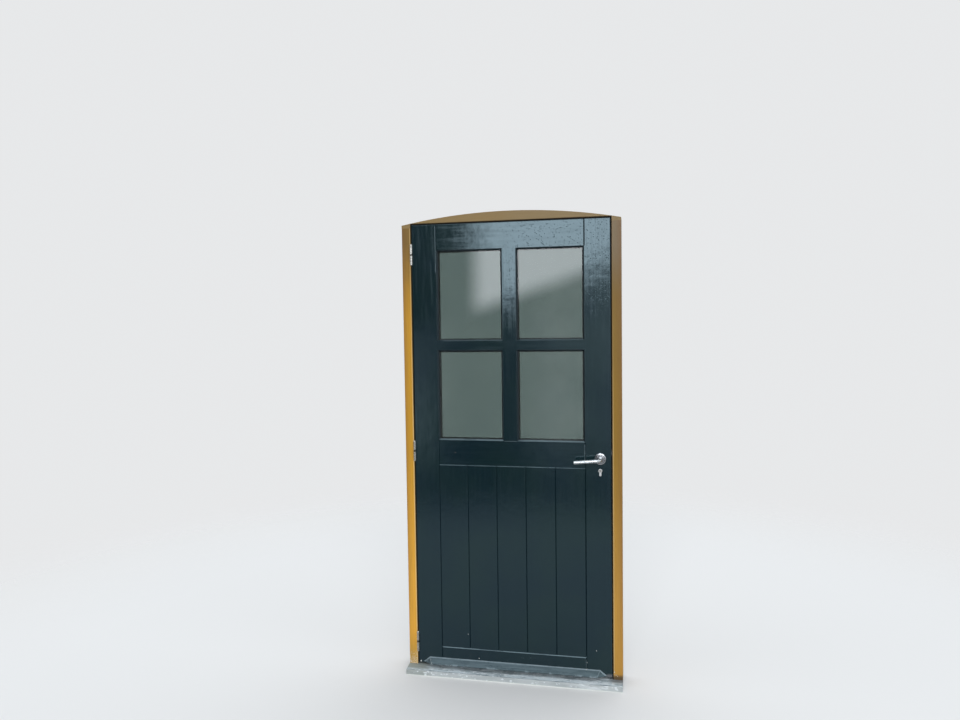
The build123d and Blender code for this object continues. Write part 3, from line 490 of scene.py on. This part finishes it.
metals = {  # colour, tarnish, roughness, how far each is brushed along x, y and z
    "hingeMetal": ((0.70, 0.68, 0.63), (0.34, 0.31, 0.26), 0.22, (500, 500, 90)),
    "screwSteel": ((0.60, 0.595, 0.57), (0.36, 0.35, 0.33), 0.36, (700, 700, 700)),
    "leverMetal": ((0.64, 0.675, 0.685), (0.53, 0.56, 0.57), 0.23, (60, 900, 900)),
    "roseMetal": ((0.50, 0.51, 0.53), (0.36, 0.37, 0.385), 0.18, (900, 900, 900)),
    "lockSteel": ((0.42, 0.42, 0.415), (0.31, 0.31, 0.305), 0.46, (80, 900, 900)),
    "nailSteel": ((0.085, 0.080, 0.074), (0.045, 0.040, 0.035), 0.50, (900, 900, 900)),
    "cylinderMetal": ((0.86, 0.86, 0.85), (0.62, 0.61, 0.58), 0.30, (900, 900, 120)),
    "plugMetal": ((0.42, 0.41, 0.39), (0.22, 0.21, 0.195), 0.36, (900, 900, 120)),
    "spacerAluminium": ((0.62, 0.625, 0.63), (0.50, 0.505, 0.51), 0.40, (900, 60, 900)),
}
metalLook = {
    "clouds": 120, "tarnished": (0.45, 0.75), "dulled": (0.40, 0.75), "dulling": 0.10, "brushing": 0.06,
    "scratchDepth": 0.000012,
    "seam": (0.030, 0.027, 0.022), "seamHalf": 0.005, "seamSoft": 0.3, "seamStrength": 0.85,
    "ring": (0.045, 0.045, 0.045), "ringStrength": 0.80,
    # dirtAndPaintedLight is painted shade on the lock's front in the gap
    "dirtAndPaintedLight": (0.020, 0.020, 0.019), "shadeFade": 0.004, "shadeStrength": 0.95,
}


# joints are the heights of a hinge's dark seams, shadeTo is how deep the painted shade on the lock's
# front reaches, and rings are the radius and half width of painted shade rings round the rose's axis
def metalFinish(name, joints=(), shadeTo=None, rings=()):
    material, g = newFinish(name)
    bright, tarnish, gloss, brushed = metals[name]
    look = metalLook
    at = g.place()
    x, y, z = g.split(at)
    scratches = g.noise(g.stretch(at, brushed), detail=3)
    cloud = g.noise(at, look["clouds"], detail=4, roughness=0.6)
    colour = g.mix(g.smooth(cloud, *look["tarnished"]), bright, tarnish)
    for joint in joints:
        seam = g.band(z, joint, look["seamHalf"], look["seamSoft"])
        colour = g.mix(seam * look["seamStrength"], colour, look["seam"])
    for radius, half in rings:
        aside, above = x - rose["axis"][0], z - rose["axis"][1]
        away = g.math("SQRT", aside * aside + above * above)
        colour = g.mix(g.band(away, radius, half) * look["ringStrength"], colour, look["ring"])
    # painted shade: the lock's front darkened near the leaf's face, in the gap
    if shadeTo:
        shadedFront = g.fade(y, shadeTo, shadeTo + look["shadeFade"])
        colour = g.mix(shadedFront * look["shadeStrength"], colour, look["dirtAndPaintedLight"])
    rough = gloss + look["dulling"] * g.smooth(cloud, *look["dulled"]) + look["brushing"] * scratches
    g.surface(Base_Color=colour, Roughness=rough, Metallic=1.0, height=scratches * look["scratchDepth"])
    return material


# Edits: a piece's faces are picked as with the mouse

alongY = (math.radians(90), 0, 0)  # turns what points up to face along y


def pointsAlong(normal, way):  # along y where the way is 1, and against it where it is -1
    return normal.y * way > 0.9


def clearSelection():
    if bpy.context.mode != "OBJECT":
        bpy.ops.object.mode_set(mode="OBJECT")
    bpy.ops.object.select_all(action="DESELECT")


def pickFaces(piece, wanted):  # wanted takes a face's centre and normal
    bpy.ops.object.mode_set(mode="OBJECT")
    bpy.context.tool_settings.mesh_select_mode = (False, False, True)
    mesh = piece.data
    for part in (*mesh.vertices, *mesh.edges):
        part.select = False
    turn = piece.matrix_world.to_3x3()
    for face in mesh.polygons:
        face.select = wanted(piece.matrix_world @ face.center, turn @ face.normal)
    bpy.ops.object.mode_set(mode="EDIT")


def roundEdges(piece, width):
    edge = piece.modifiers.new("rounded", "BEVEL")
    edge.width, edge.segments = width, 3
    edge.limit_method, edge.angle_limit = "ANGLE", math.radians(40)
    bpy.ops.object.modifier_apply(modifier=edge.name)


def drawOut(y):  # the picked faces, along y
    bpy.ops.mesh.extrude_region_move(TRANSFORM_OT_translate={"value": (0, y, 0)})


def turnOutwards():
    bpy.ops.mesh.select_all(action="SELECT")
    bpy.ops.mesh.normals_make_consistent(inside=False)
    bpy.ops.object.mode_set(mode="OBJECT")


def settle(piece, name, body, material, smoothAngle=35):
    bpy.ops.object.mode_set(mode="OBJECT")
    bpy.ops.object.transform_apply(location=True, rotation=True, scale=True)
    bpy.ops.object.shade_smooth_by_angle(angle=math.radians(smoothAngle))
    piece.name = piece.data.name = name
    piece.data.materials.clear()
    piece.data.materials.append(material)
    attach(piece, body)
    clearSelection()


# Roses: a pressed cover with a rounded rim, a groove, and a collar round the lever's neck

rose = {
    "axis": (0.415, 1.061), "radius": 0.026, "thickness": 0.0070, "sides": 96, "bore": 0.0087,
    "collar": 0.0125,
    "steps": [(0.0052, 0.0014), (0.0008, -0.0014), (0.0026, 0.0), (0.0008, 0.0010), (0.0028, 0.0)],
    "collarRise": 0.0022, "edge": 0.0008, "edgeRise": 0.0004, "round": 0.0005, "smoothAngle": 12,
    # shadedRings are painted shade, dark rings in the groove and at the collar's foot
    "shadedRings": [(0.0202, 0.0010), (0.0132, 0.0011)],
}
leafBack = 0.040  # the room side of the leaf, whose outside face is at 0


def turnedRose(name, node, start, outward, material):
    x, z = rose["axis"]
    clearSelection()
    bpy.ops.mesh.primitive_cylinder_add(
        vertices=rose["sides"], radius=rose["radius"], depth=rose["thickness"],
        location=(x, start + outward * rose["thickness"] / 2, z), rotation=alongY)
    piece = bpy.context.active_object
    pickFaces(piece, lambda centre, normal: pointsAlong(normal, outward))
    used = 0
    for inset, rise in rose["steps"]:
        bpy.ops.mesh.inset(thickness=inset, depth=rise)
        used += inset
    bpy.ops.mesh.inset(thickness=rose["radius"] - used - rose["collar"], depth=0)
    drawOut(outward * rose["collarRise"])
    bpy.ops.mesh.inset(thickness=rose["edge"], depth=rose["edgeRise"])
    bpy.ops.mesh.inset(thickness=rose["collar"] - rose["edge"] - rose["bore"], depth=0)
    middle = lambda centre: math.hypot(centre.x - x, centre.z - z) < 0.0001
    pickFaces(piece, lambda centre, normal: pointsAlong(normal, -outward) and middle(centre))
    bpy.ops.mesh.inset(thickness=rose["radius"] - rose["bore"], depth=0)
    pickFaces(piece, lambda centre, normal: middle(centre))
    bpy.ops.mesh.bridge_edge_loops()
    turnOutwards()
    roundEdges(piece, rose["round"])
    settle(piece, name, "leaf", material, rose["smoothAngle"])
    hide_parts(node)


# Sealant: a dark line of it where each pane meets the timber

seal = {"width": 0.0016, "rise": 0.0012, "round": 0.0004, "bead": 0.007, "lip": 0.010}


def sealantLine(name, opening, start, outward, material):
    (lowX, highX), (lowZ, highZ) = opening
    clearSelection()
    middle = ((lowX + highX) / 2, start, (lowZ + highZ) / 2)
    bpy.ops.mesh.primitive_plane_add(size=1, location=middle, rotation=alongY)
    piece = bpy.context.active_object
    bpy.ops.transform.resize(value=(highX - lowX, 1, highZ - lowZ))
    bpy.ops.object.transform_apply(location=True, rotation=True, scale=True)
    bpy.ops.object.mode_set(mode="EDIT")
    bpy.ops.mesh.select_all(action="SELECT")
    bpy.ops.mesh.inset(thickness=seal["width"], depth=0)
    bpy.ops.mesh.delete(type="FACE")
    bpy.ops.mesh.select_all(action="SELECT")
    drawOut(outward * seal["rise"])
    turnOutwards()
    roundEdges(piece, seal["round"])
    settle(piece, name, "leaf", material)


# Nail: a small one left in the lock rail

nail = {
    "centre": (-0.267, 0.0, 1.076), "dimple": 0.0062, "shank": 0.0011, "proud": 0.0022, "sides": 24,
    "head": 0.0022, "flare": 0.0003, "thickness": 0.0006, "edge": 0.0006, "crown": 0.0003,
}


def railNail(material):
    x, y, z = nail["centre"]
    clearSelection()
    bpy.ops.mesh.primitive_cylinder_add(
        vertices=nail["sides"], radius=nail["shank"], depth=nail["proud"],
        location=(x, y - nail["proud"] / 2, z), rotation=alongY)
    piece = bpy.context.active_object
    pickFaces(piece, lambda centre, normal: pointsAlong(normal, -1))
    drawOut(-nail["flare"])
    bpy.ops.transform.resize(value=(nail["head"] / nail["shank"], 1, nail["head"] / nail["shank"]))
    drawOut(-nail["thickness"])
    bpy.ops.mesh.inset(thickness=nail["edge"], depth=nail["crown"])
    settle(piece, "rail_nail", "leaf", material)


# Dressing

halfHinge = 0.0445  # from the foot of a hinge's plate to its middle
beadShade, lockShadeDepth = 0.8, 0.010  # how dark the painted shade on the beads' sides is, and how deep painted shade lies on the lock's front
hingeMiddles = [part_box("hinge_leaf_" + place)[0].z + halfHinge for place in ("bottom", "middle", "top")]
upright, level = leafPaint("leafPaintUpright", False), leafPaint("leafPaintLevel", True)
beads = leafPaint("leafPaintBead", True, shaded=beadShade)
post, head = framePaint("framePaintPost", False), framePaint("framePaintHead", True)
finishes = {
    "threshold_stone": thresholdStone("thresholdStone"), "pane_glass": paneGlass("paneGlass"),
    "seal_rubber": sealRubber("sealRubber"), "spacer_aluminium": metalFinish("spacerAluminium"),
    "hinge_metal": metalFinish("hingeMetal", hingeMiddles), "screw_steel": metalFinish("screwSteel"),
    "lever_metal": metalFinish("leverMetal"), "lock_steel": metalFinish("lockSteel", shadeTo=lockShadeDepth),
    "cylinder_metal": metalFinish("cylinderMetal"), "leaf_paint": upright, "frame_paint": post,
}
levelNodes = ("bottom_rail", "lock_rail", "top_rail", "muntin_cross_left", "muntin_cross_right",
              "weatherboard")
panes = ("upper_left", "upper_right", "lower_left", "lower_right")
special = {name: level for name in levelNodes}
special.update({"glazing_bead_" + pane: beads for pane in panes})
special["frame_head"] = head
special["cylinder_plug"] = metalFinish("plugMetal")
for name, node in frame["nodes"].items():
    for place in node.material_slots:
        place.material = special.get(name, finishes[slotOf[name]])
print("finishes on", len(frame["nodes"]), "nodes")

roseMetal = metalFinish("roseMetal", rings=rose["shadedRings"])
turnedRose("rose_cover_outside", "rose_outside", 0, -1, roseMetal)
turnedRose("rose_cover_inside", "rose_inside", leafBack, 1, roseMetal)
railNail(metalFinish("nailSteel"))
for pane in panes:
    low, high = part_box("glazing_bead_" + pane)
    for face, inset, start, outward in (("outside", seal["bead"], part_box("pane_outer_" + pane)[0].y, -1),
                                        ("inside", seal["lip"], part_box("pane_inner_" + pane)[1].y, 1)):
        limits = ((low.x + inset, high.x - inset), (low.z + inset, high.z - inset))
        sealantLine("sealant_" + face + "_" + pane, limits, start, outward, finishes["seal_rubber"])
print("new pieces made")


# Light: a pale studio with one broad soft light in front, to the right and overhead

studio = {  # the lights' ranges are in degrees, across from straight in front and up from level
    "backdrop": (0.80, 0.81, 0.82), "lightColour": (0.96, 1.0, 1.05),
    "key": 5.2, "keyLeft": (-13, -11), "keyRight": (22, 46), "keyFoot": (3.8, 5.8), "keySlant": 0.33,
    "keyTop": (24, 44), "overhead": 1.5, "overheadUp": (40, 65),
    "surround": 0.70, "surroundAcross": (35, 75), "surroundUp": (-6, 10),
    "cloths": 9, "dim": (0.03, 0.12), "dimCloth": (0.35, 0.75),
    "glow": 0.80, "glowLeft": (-17.0, -12.5), "glowRight": (-9.0, -4.5), "glowUp": (-14.0, -8.0),
    "glowCloth": (0.35, 0.65), "glowLeast": 0.4,
}


def studioWorld():
    world = bpy.data.worlds.new("studio")
    scene.world = world
    g = Graph(world)
    way = g.node("ShaderNodeTexCoord", output="Generated")
    x, y, z = g.split(way)
    across = g.math("ARCTAN2", x, 0 - y) * math.degrees(1)
    up = g.math("ARCSINE", z) * math.degrees(1)
    aboveFoot = g.smooth(up - across * studio["keySlant"], *studio["keyFoot"])
    key = g.smooth(across, *studio["keyLeft"]) * g.fade(across, *studio["keyRight"])
    key = key * aboveFoot * g.fade(up, *studio["keyTop"])
    overhead = g.smooth(up, *studio["overheadUp"])
    beside = g.smooth(g.absolute(across), *studio["surroundAcross"])
    surround = beside * g.smooth(up, *studio["surroundUp"]) * (1 - overhead)
    cloth = g.noise(way, studio["cloths"], detail=3)
    glow = g.largest(g.fade(across, *studio["glowLeft"]), g.smooth(across, *studio["glowRight"]))
    glow = glow * g.smooth(up, *studio["glowUp"]) * (1 - aboveFoot)
    glow = glow * blend(g.smooth(cloth, *studio["glowCloth"]), studio["glowLeast"], 1)
    level = blend(g.smooth(cloth, *studio["dimCloth"]), *studio["dim"])
    for name, mask in (("key", key), ("overhead", overhead), ("surround", surround), ("glow", glow)):
        level = level + mask * studio[name]
    lit = g.node("ShaderNodeBackground", inputs={"Color": studio["lightColour"], "Strength": level})
    pale = g.node("ShaderNodeBackground", inputs={"Color": studio["backdrop"], "Strength": 1.0})
    seen = g.largest(g.node("ShaderNodeLightPath", output="Is Camera Ray"),
                     g.node("ShaderNodeLightPath", output="Is Transmission Ray"))
    both = g.node("ShaderNodeMixShader", inputs={0: seen, 1: lit, 2: pale})
    g.node("ShaderNodeOutputWorld", inputs={"Surface": both})


# Floor: pale, and fading into the backdrop

floorLook = {
    "size": 16, "colour": (0.70, 0.695, 0.68), "mirrored": (0.38, 0.38, 0.375), "fade": (2.3, 4.4),
}


def studioFloor():
    clearSelection()
    bpy.ops.mesh.primitive_plane_add(size=floorLook["size"], location=(0, 0, 0))
    floor = bpy.context.active_object
    floor.name = "studio_floor"
    material, g = newFinish("floorPaper")
    at = g.place()
    far = g.node("ShaderNodeVectorMath", {"operation": "LENGTH"}, {0: at}, "Value")
    mirrored = g.node("ShaderNodeLightPath", output="Is Glossy Ray")
    colour = g.mix(mirrored, floorLook["colour"], floorLook["mirrored"])
    paper = g.node("ShaderNodeBsdfDiffuse", inputs={"Color": colour})
    clear = g.node("ShaderNodeBsdfTransparent")
    gone = g.smooth(far, *floorLook["fade"])
    g.finish(g.node("ShaderNodeMixShader", inputs={0: gone, 1: paper, 2: clear}))
    floor.data.materials.append(material)
    clearSelection()


# Camera: where the photograph was taken from

camera = {
    "place": (0.5736, -3.4393, 1.7032), "turn": 11.739, "down": 3.046, "roll": -0.796,
    "lens": 28.087, "sensor": 36,
}


def photoCamera():
    data = bpy.data.cameras.new("photo_camera")
    data.lens = camera["lens"]
    data.sensor_width = camera["sensor"]
    eye = bpy.data.objects.new("photo_camera", data)
    scene.collection.objects.link(eye)
    turn = Matrix.Rotation(math.radians(camera["turn"]), 4, "Z")
    tilt = Matrix.Rotation(math.radians(90 - camera["down"]), 4, "X")
    roll = Matrix.Rotation(math.radians(camera["roll"]), 4, "Z")
    eye.matrix_world = Matrix.Translation(Vector(camera["place"])) @ turn @ tilt @ roll
    scene.camera = eye


studioWorld()
studioFloor()
photoCamera()
scene.view_settings.view_transform = "Standard"
print("stage set")
